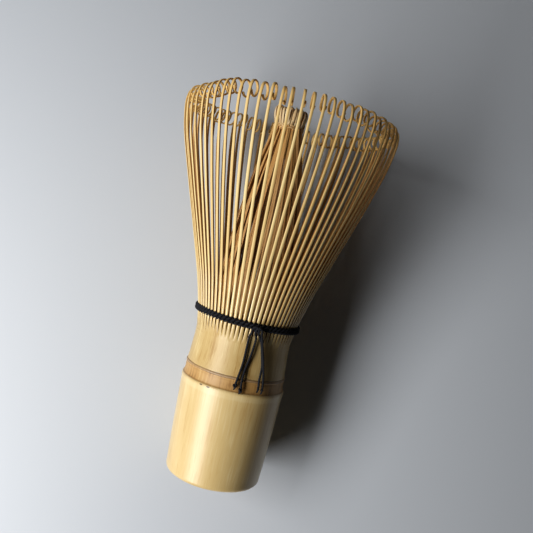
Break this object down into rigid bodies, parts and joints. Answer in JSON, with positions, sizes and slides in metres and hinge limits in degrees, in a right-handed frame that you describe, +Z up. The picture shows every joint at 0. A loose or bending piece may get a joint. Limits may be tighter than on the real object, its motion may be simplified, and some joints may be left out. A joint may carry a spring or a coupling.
{
  "type": "bamboo tea whisk",
  "caption": "Bamboo tea whisk: a short culm handle split into a flared ring of curled tines round a gathered inner bundle, bound with black thread, for frothing powdered tea.",
  "frame": {"origin": "centre of the handle's foot, on the surface that the whisk stands on", "axes": "+Z up the whisk's axis from the handle to the tines' tips; -Y towards the thread's knot and tails; +X to the right of someone facing the knot"},
  "size_m": [0.0632, 0.0632, 0.1128],
  "materials": {
    "bamboo_polished": "smooth natural culm skin, light gloss",
    "bamboo_node": "raw growth node, satin",
    "bamboo_inside": "raw inner wall, matte",
    "bamboo_scraped": "scraped, satin",
    "bamboo_tines": "split and shaved, satin",
    "bamboo_inner_tines": "split inner layer, matte",
    "cotton_thread": "twisted cotton, matte"
  },
  "bodies": {
    "whisk": {"handle": "bamboo_polished", "node_band": "bamboo_node", "septum": "bamboo_inside", "neck": "bamboo_scraped", "outer_roots": "bamboo_tines", "inner_roots": "bamboo_inner_tines", "inner_tines_01": "bamboo_inner_tines", "inner_tines_02": "bamboo_inner_tines", "inner_tines_03": "bamboo_inner_tines", "inner_tines_04": "bamboo_inner_tines", "inner_tines_05": "bamboo_inner_tines", "inner_tines_06": "bamboo_inner_tines", "bundle_core": "bamboo_inner_tines", "bundle_tips": "bamboo_inner_tines", "bundle_slivers": "bamboo_inner_tines", "thread_lower": "cotton_thread", "thread_upper": "cotton_thread", "thread_inner": "cotton_thread", "thread_knot": "cotton_thread", "thread_tails_left": "cotton_thread", "thread_tails_right": "cotton_thread", "tail_knots": "cotton_thread"},
    "tines_01": {"outer_tines_01": "bamboo_tines"},
    "tines_02": {"outer_tines_02": "bamboo_tines"},
    "tines_03": {"outer_tines_03": "bamboo_tines"},
    "tines_04": {"outer_tines_04": "bamboo_tines"},
    "tines_05": {"outer_tines_05": "bamboo_tines"},
    "tines_06": {"outer_tines_06": "bamboo_tines"},
    "tines_07": {"outer_tines_07": "bamboo_tines"},
    "tines_08": {"outer_tines_08": "bamboo_tines"},
    "tines_09": {"outer_tines_09": "bamboo_tines"},
    "tines_10": {"outer_tines_10": "bamboo_tines"},
    "tines_11": {"outer_tines_11": "bamboo_tines"},
    "tines_12": {"outer_tines_12": "bamboo_tines"},
    "tines_13": {"outer_tines_13": "bamboo_tines"},
    "tines_14": {"outer_tines_14": "bamboo_tines"},
    "tines_15": {"outer_tines_15": "bamboo_tines"},
    "tines_16": {"outer_tines_16": "bamboo_tines"},
    "tines_17": {"outer_tines_17": "bamboo_tines"},
    "tines_18": {"outer_tines_18": "bamboo_tines"},
    "tines_19": {"outer_tines_19": "bamboo_tines"},
    "tines_20": {"outer_tines_20": "bamboo_tines"},
    "tines_21": {"outer_tines_21": "bamboo_tines"},
    "tines_22": {"outer_tines_22": "bamboo_tines"},
    "tines_23": {"outer_tines_23": "bamboo_tines"},
    "tines_24": {"outer_tines_24": "bamboo_tines"}
  },
  "joints": [
    {"name": "tine_flex_01", "type": "hinge", "parent": "whisk", "child": "tines_01", "pos_m": [0.01512, 0.00199, 0.05045], "axis": [-0.1305, 0.9914, 0], "range_deg": [-5, 5], "stiffness_Nm_per_rad": 0.05},
    {"name": "tine_flex_02", "type": "hinge", "parent": "whisk", "child": "tines_02", "pos_m": [0.01409, 0.00584, 0.05045], "axis": [-0.3827, 0.9239, 0], "range_deg": [-5, 5], "stiffness_Nm_per_rad": 0.05},
    {"name": "tine_flex_03", "type": "hinge", "parent": "whisk", "child": "tines_03", "pos_m": [0.0121, 0.00928, 0.05045], "axis": [-0.6088, 0.7934, 0], "range_deg": [-5, 5], "stiffness_Nm_per_rad": 0.05},
    {"name": "tine_flex_04", "type": "hinge", "parent": "whisk", "child": "tines_04", "pos_m": [0.00928, 0.0121, 0.05045], "axis": [-0.7934, 0.6088, 0], "range_deg": [-5, 5], "stiffness_Nm_per_rad": 0.05},
    {"name": "tine_flex_05", "type": "hinge", "parent": "whisk", "child": "tines_05", "pos_m": [0.00584, 0.01409, 0.05045], "axis": [-0.9239, 0.3827, 0], "range_deg": [-5, 5], "stiffness_Nm_per_rad": 0.05},
    {"name": "tine_flex_06", "type": "hinge", "parent": "whisk", "child": "tines_06", "pos_m": [0.00199, 0.01512, 0.05045], "axis": [-0.9914, 0.1305, 0], "range_deg": [-5, 5], "stiffness_Nm_per_rad": 0.05},
    {"name": "tine_flex_07", "type": "hinge", "parent": "whisk", "child": "tines_07", "pos_m": [-0.00199, 0.01512, 0.05045], "axis": [-0.9914, -0.1305, 0], "range_deg": [-5, 5], "stiffness_Nm_per_rad": 0.05},
    {"name": "tine_flex_08", "type": "hinge", "parent": "whisk", "child": "tines_08", "pos_m": [-0.00584, 0.01409, 0.05045], "axis": [-0.9239, -0.3827, 0], "range_deg": [-5, 5], "stiffness_Nm_per_rad": 0.05},
    {"name": "tine_flex_09", "type": "hinge", "parent": "whisk", "child": "tines_09", "pos_m": [-0.00928, 0.0121, 0.05045], "axis": [-0.7934, -0.6088, 0], "range_deg": [-5, 5], "stiffness_Nm_per_rad": 0.05},
    {"name": "tine_flex_10", "type": "hinge", "parent": "whisk", "child": "tines_10", "pos_m": [-0.0121, 0.00928, 0.05045], "axis": [-0.6088, -0.7934, 0], "range_deg": [-5, 5], "stiffness_Nm_per_rad": 0.05},
    {"name": "tine_flex_11", "type": "hinge", "parent": "whisk", "child": "tines_11", "pos_m": [-0.01409, 0.00584, 0.05045], "axis": [-0.3827, -0.9239, 0], "range_deg": [-5, 5], "stiffness_Nm_per_rad": 0.05},
    {"name": "tine_flex_12", "type": "hinge", "parent": "whisk", "child": "tines_12", "pos_m": [-0.01512, 0.00199, 0.05045], "axis": [-0.1305, -0.9914, 0], "range_deg": [-5, 5], "stiffness_Nm_per_rad": 0.05},
    {"name": "tine_flex_13", "type": "hinge", "parent": "whisk", "child": "tines_13", "pos_m": [-0.01512, -0.00199, 0.05045], "axis": [0.1305, -0.9914, 0], "range_deg": [-5, 5], "stiffness_Nm_per_rad": 0.05},
    {"name": "tine_flex_14", "type": "hinge", "parent": "whisk", "child": "tines_14", "pos_m": [-0.01409, -0.00584, 0.05045], "axis": [0.3827, -0.9239, 0], "range_deg": [-5, 5], "stiffness_Nm_per_rad": 0.05},
    {"name": "tine_flex_15", "type": "hinge", "parent": "whisk", "child": "tines_15", "pos_m": [-0.0121, -0.00928, 0.05045], "axis": [0.6088, -0.7934, 0], "range_deg": [-5, 5], "stiffness_Nm_per_rad": 0.05},
    {"name": "tine_flex_16", "type": "hinge", "parent": "whisk", "child": "tines_16", "pos_m": [-0.00928, -0.0121, 0.05045], "axis": [0.7934, -0.6088, 0], "range_deg": [-5, 5], "stiffness_Nm_per_rad": 0.05},
    {"name": "tine_flex_17", "type": "hinge", "parent": "whisk", "child": "tines_17", "pos_m": [-0.00584, -0.01409, 0.05045], "axis": [0.9239, -0.3827, 0], "range_deg": [-5, 5], "stiffness_Nm_per_rad": 0.05},
    {"name": "tine_flex_18", "type": "hinge", "parent": "whisk", "child": "tines_18", "pos_m": [-0.00199, -0.01512, 0.05045], "axis": [0.9914, -0.1305, 0], "range_deg": [-5, 5], "stiffness_Nm_per_rad": 0.05},
    {"name": "tine_flex_19", "type": "hinge", "parent": "whisk", "child": "tines_19", "pos_m": [0.00199, -0.01512, 0.05045], "axis": [0.9914, 0.1305, 0], "range_deg": [-5, 5], "stiffness_Nm_per_rad": 0.05},
    {"name": "tine_flex_20", "type": "hinge", "parent": "whisk", "child": "tines_20", "pos_m": [0.00584, -0.01409, 0.05045], "axis": [0.9239, 0.3827, 0], "range_deg": [-5, 5], "stiffness_Nm_per_rad": 0.05},
    {"name": "tine_flex_21", "type": "hinge", "parent": "whisk", "child": "tines_21", "pos_m": [0.00928, -0.0121, 0.05045], "axis": [0.7934, 0.6088, 0], "range_deg": [-5, 5], "stiffness_Nm_per_rad": 0.05},
    {"name": "tine_flex_22", "type": "hinge", "parent": "whisk", "child": "tines_22", "pos_m": [0.0121, -0.00928, 0.05045], "axis": [0.6088, 0.7934, 0], "range_deg": [-5, 5], "stiffness_Nm_per_rad": 0.05},
    {"name": "tine_flex_23", "type": "hinge", "parent": "whisk", "child": "tines_23", "pos_m": [0.01409, -0.00584, 0.05045], "axis": [0.3827, 0.9239, 0], "range_deg": [-5, 5], "stiffness_Nm_per_rad": 0.05},
    {"name": "tine_flex_24", "type": "hinge", "parent": "whisk", "child": "tines_24", "pos_m": [0.01512, -0.00199, 0.05045], "axis": [0.1305, 0.9914, 0], "range_deg": [-5, 5], "stiffness_Nm_per_rad": 0.05}
  ]
}
